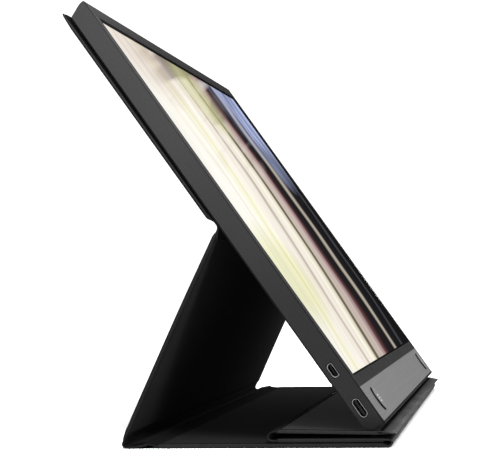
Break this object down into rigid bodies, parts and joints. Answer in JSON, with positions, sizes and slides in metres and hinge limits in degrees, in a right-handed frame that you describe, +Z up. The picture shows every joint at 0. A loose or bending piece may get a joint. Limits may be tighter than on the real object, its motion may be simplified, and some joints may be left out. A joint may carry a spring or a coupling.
{
  "type": "portable monitor with folding cover",
  "caption": "Flat portable display leaning on a folded soft cover that props its back and holds its foot, with two side sockets and two round front buttons.",
  "frame": {"origin": "on the table under the middle of the whole object as it stands", "axes": "+X to the viewer's right along the width, -Y to the front that the screen faces, +Z up"},
  "size_m": [0.3606, 0.1448, 0.1984],
  "materials": {
    "cover_skin": "fine-grained matt artificial leather",
    "cover_lining": "brushed microfibre",
    "cover_board": "fibre board",
    "frame_plastic": "finely speckled matt moulding",
    "chin_metal": "fine brushed, grey anodised",
    "screen": "matt anti-glare, lit",
    "film": "translucent film",
    "acrylic": "clear",
    "led": "white",
    "steel": "rolled",
    "circuit_board": "solder mask",
    "port_metal": "nickel plated",
    "port_insert": "moulded",
    "cell_wrap": "foil",
    "lead_rubber": "insulation"
  },
  "bodies": {
    "base": {"base_panel_skin": "cover_skin", "base_panel_board": "cover_board", "base_panel_lining": "cover_lining", "fold_base_flap": "cover_skin", "fold_spine_base": "cover_skin"},
    "spine": {"spine_panel_skin": "cover_skin", "spine_panel_board": "cover_board", "spine_panel_lining": "cover_lining", "fold_leg_spine": "cover_skin"},
    "leg": {"leg_panel_skin": "cover_skin", "leg_panel_board": "cover_board", "leg_panel_lining": "cover_lining"},
    "display": {"backlight_tray": "steel", "battery_cells": "cell_wrap", "battery_lead": "lead_rubber", "bezel_frame": "frame_plastic", "board_shields": "steel", "button_boards": "circuit_board", "button_domes": "steel", "chin_panel": "chin_metal", "cover_screws": "steel", "diffuser_films": "film", "fixing_magnets": "steel", "hdmi_socket": "port_metal", "hdmi_tongue": "port_insert", "keeper_plates": "steel", "lcd_glass": "screen", "led_bar": "led", "light_guide": "acrylic", "main_board": "circuit_board", "panel_ribbon": "film", "rear_cover": "frame_plastic", "usb_c_socket": "port_metal", "usb_c_tongue": "port_insert", "back_panel_skin": "cover_skin", "back_panel_board": "cover_board", "back_panel_lining": "cover_lining", "fold_back_leg": "cover_skin"},
    "under_flap": {"under_flap_skin": "cover_skin", "under_flap_board": "cover_board", "under_flap_lining": "cover_lining", "fold_flap_rest": "cover_skin"},
    "rest_flap": {"rest_flap_skin": "cover_skin", "rest_flap_board": "cover_board", "rest_flap_lining": "cover_lining"},
    "menu_button": {"menu_button": "chin_metal"},
    "power_button": {"power_button": "chin_metal"}
  },
  "joints": [
    {"name": "spine_fold", "type": "hinge", "parent": "base", "child": "spine", "pos_m": [0, 0.03464, 0.0021], "axis": [-1, 0, 0], "range_deg": [0, 90], "deforming": ["fold_spine_base"]},
    {"name": "leg_fold", "type": "hinge", "parent": "spine", "child": "leg", "pos_m": [0, 0.04696, 0.0021], "axis": [-1, 0, 0], "range_deg": [0, 115], "deforming": ["fold_leg_spine"]},
    {"name": "back_fold", "type": "hinge", "parent": "leg", "child": "display", "pos_m": [0, 0.0023, 0.095], "axis": [1, 0, 0], "range_deg": [0, 60.5], "deforming": ["fold_back_leg"]},
    {"name": "front_fold", "type": "hinge", "parent": "base", "child": "under_flap", "pos_m": [0, -0.06916, 0.0022], "axis": [1, 0, 0], "range_deg": [0, 127], "deforming": ["fold_base_flap"]},
    {"name": "rest_fold", "type": "hinge", "parent": "under_flap", "child": "rest_flap", "pos_m": [0, -0.01796, 0.0052], "axis": [-1, 0, 0], "range_deg": [0, 150], "deforming": ["fold_flap_rest"]},
    {"name": "menu_press", "type": "slide", "parent": "display", "child": "menu_button", "axis": [0, 0.8236, -0.5671], "range_m": [0, 0.0004], "stiffness_N_per_m": 1500, "springref_m": -0.0003},
    {"name": "power_press", "type": "slide", "parent": "display", "child": "power_button", "axis": [0, 0.8236, -0.5671], "range_m": [0, 0.0004], "stiffness_N_per_m": 1500, "springref_m": -0.0003}
  ],
  "couplings": [
    {"joint": "back_fold", "follows": "leg_fold", "ratio": 0.52174},
    {"joint": "front_fold", "follows": "leg_fold", "ratio": 1.1},
    {"joint": "rest_fold", "follows": "leg_fold", "ratio": 1.3}
  ]
}
